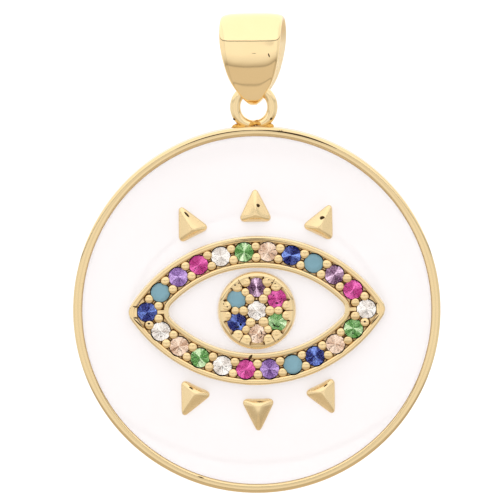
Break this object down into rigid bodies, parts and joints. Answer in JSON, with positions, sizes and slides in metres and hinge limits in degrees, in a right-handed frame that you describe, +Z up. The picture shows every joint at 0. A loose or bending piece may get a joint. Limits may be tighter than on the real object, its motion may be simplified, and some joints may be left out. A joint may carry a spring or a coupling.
{
  "type": "enamel eye pendant",
  "caption": "Round gold-plated pendant, white enamel face with a raised eye set with small coloured round stones, lash spikes, and a tapered bail that swings on a ring.",
  "frame": {"origin": "inside the bail at the top of its opening, where a chain bears", "axes": "+Z up along the hanging pendant, +X to the right seen from the front, -Y out of the enamelled face"},
  "size_m": [0.025, 0.0044, 0.0327],
  "materials": {
    "gold_plate": "pale yellow gold plating on brass, polished",
    "white_enamel": "white soft enamel, glossy and level",
    "clear_stone": "clear brilliant-cut cubic zirconia, polished",
    "blue_stone": "sapphire-blue brilliant-cut cubic zirconia, polished",
    "green_stone": "grass-green brilliant-cut cubic zirconia, polished",
    "magenta_stone": "magenta brilliant-cut cubic zirconia, polished",
    "violet_stone": "light violet brilliant-cut cubic zirconia, polished",
    "purple_stone": "dark purple brilliant-cut cubic zirconia, polished",
    "champagne_stone": "pale champagne-pink brilliant-cut cubic zirconia, polished",
    "turquoise_stone": "opaque blue-green turquoise-coloured stone, polished, softly faceted"
  },
  "bodies": {
    "bail": {"bail": "gold_plate"},
    "pendant": {"case": "gold_plate", "enamel_field": "white_enamel", "enamel_eye": "white_enamel", "upper_stone_1": "turquoise_stone", "upper_stone_2": "violet_stone", "upper_stone_3": "magenta_stone", "upper_stone_4": "clear_stone", "upper_stone_5": "green_stone", "upper_stone_6": "champagne_stone", "upper_stone_7": "blue_stone", "upper_stone_8": "turquoise_stone", "upper_stone_9": "purple_stone", "upper_stone_10": "magenta_stone", "lower_stone_1": "clear_stone", "lower_stone_2": "champagne_stone", "lower_stone_3": "green_stone", "lower_stone_4": "clear_stone", "lower_stone_5": "magenta_stone", "lower_stone_6": "violet_stone", "lower_stone_7": "turquoise_stone", "lower_stone_8": "blue_stone", "lower_stone_9": "champagne_stone", "lower_stone_10": "green_stone", "corner_stone_left": "blue_stone", "corner_stone_right": "clear_stone", "iris_stone_center": "clear_stone", "iris_stone_1": "purple_stone", "iris_stone_2": "magenta_stone", "iris_stone_3": "green_stone", "iris_stone_4": "champagne_stone", "iris_stone_5": "blue_stone", "iris_stone_6": "turquoise_stone"}
  },
  "joints": [
    {"name": "pendant_swing", "type": "hinge", "parent": "bail", "child": "pendant", "pos_m": [0, 0, -0.00437], "axis": [1, 0, 0], "range_deg": [-30, 30]}
  ]
}
